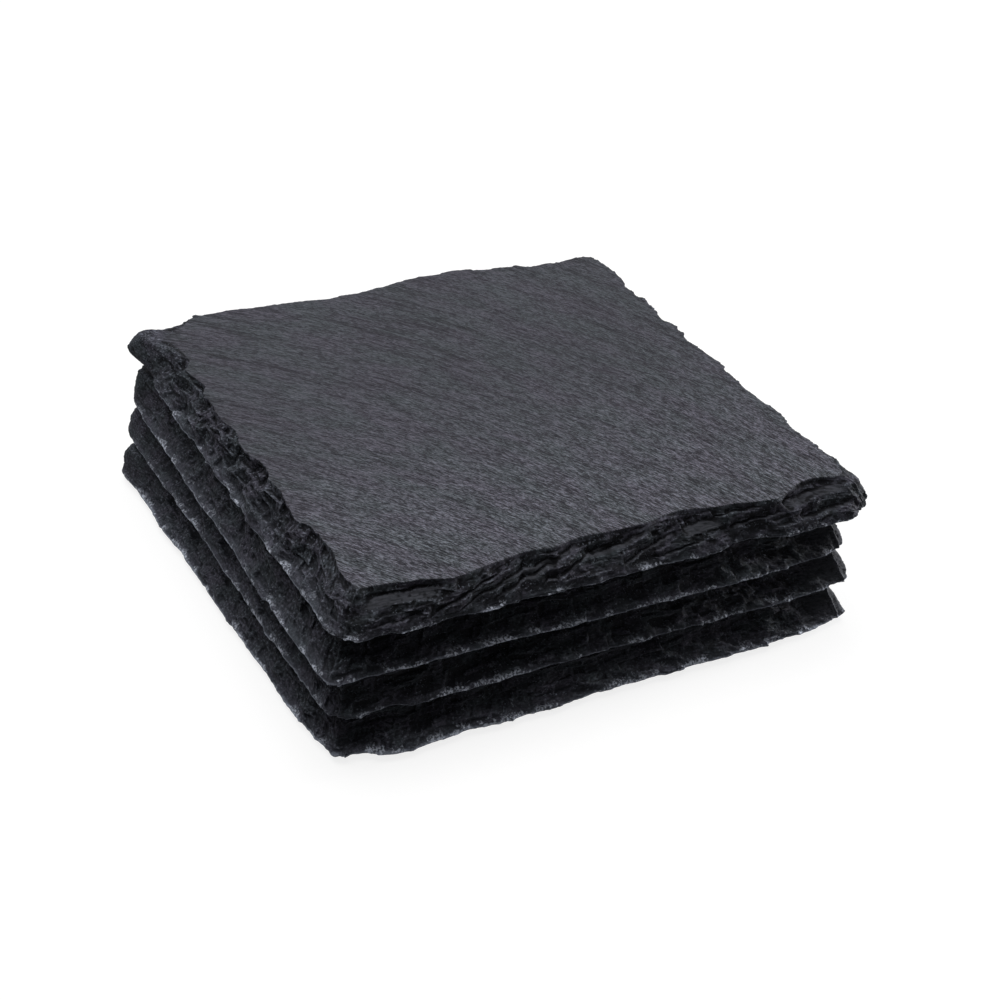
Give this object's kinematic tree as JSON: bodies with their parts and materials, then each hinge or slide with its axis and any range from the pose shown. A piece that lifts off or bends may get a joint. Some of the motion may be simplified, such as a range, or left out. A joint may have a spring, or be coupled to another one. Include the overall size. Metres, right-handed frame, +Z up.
{
  "type": "drink coaster stack",
  "caption": "Pile of square natural-slate drink coasters with hand-broken edges and rubber feet, each of which lifts off the one below it.",
  "frame": {"origin": "on the surface that the pile stands on, under the middle of the pile's outline", "axes": "+Z up, from the lowest coaster to the top one; +X to the right along the coasters' front edges; +Y to the back"},
  "size_m": [0.1044, 0.103, 0.0316],
  "materials": {
    "slate": "matte",
    "foot_rubber": "matte"
  },
  "bodies": {
    "bottom_coaster": {"bottom_slate": "slate", "bottom_foot_front_left": "foot_rubber", "bottom_foot_front_right": "foot_rubber", "bottom_foot_back_right": "foot_rubber", "bottom_foot_back_left": "foot_rubber"},
    "second_coaster": {"second_slate": "slate", "second_foot_front_left": "foot_rubber", "second_foot_front_right": "foot_rubber", "second_foot_back_right": "foot_rubber", "second_foot_back_left": "foot_rubber"},
    "third_coaster": {"third_slate": "slate", "third_foot_front_left": "foot_rubber", "third_foot_front_right": "foot_rubber", "third_foot_back_right": "foot_rubber", "third_foot_back_left": "foot_rubber"},
    "top_coaster": {"top_slate": "slate", "top_foot_front_left": "foot_rubber", "top_foot_front_right": "foot_rubber", "top_foot_back_right": "foot_rubber", "top_foot_back_left": "foot_rubber"}
  },
  "joints": [
    {"name": "second_lift", "type": "slide", "parent": "bottom_coaster", "child": "second_coaster", "axis": [0, 0, 1], "range_m": [0, 0.04]},
    {"name": "third_lift", "type": "slide", "parent": "second_coaster", "child": "third_coaster", "axis": [0, 0, 1], "range_m": [0, 0.04]},
    {"name": "top_lift", "type": "slide", "parent": "third_coaster", "child": "top_coaster", "axis": [0, 0, 1], "range_m": [0, 0.04]}
  ]
}
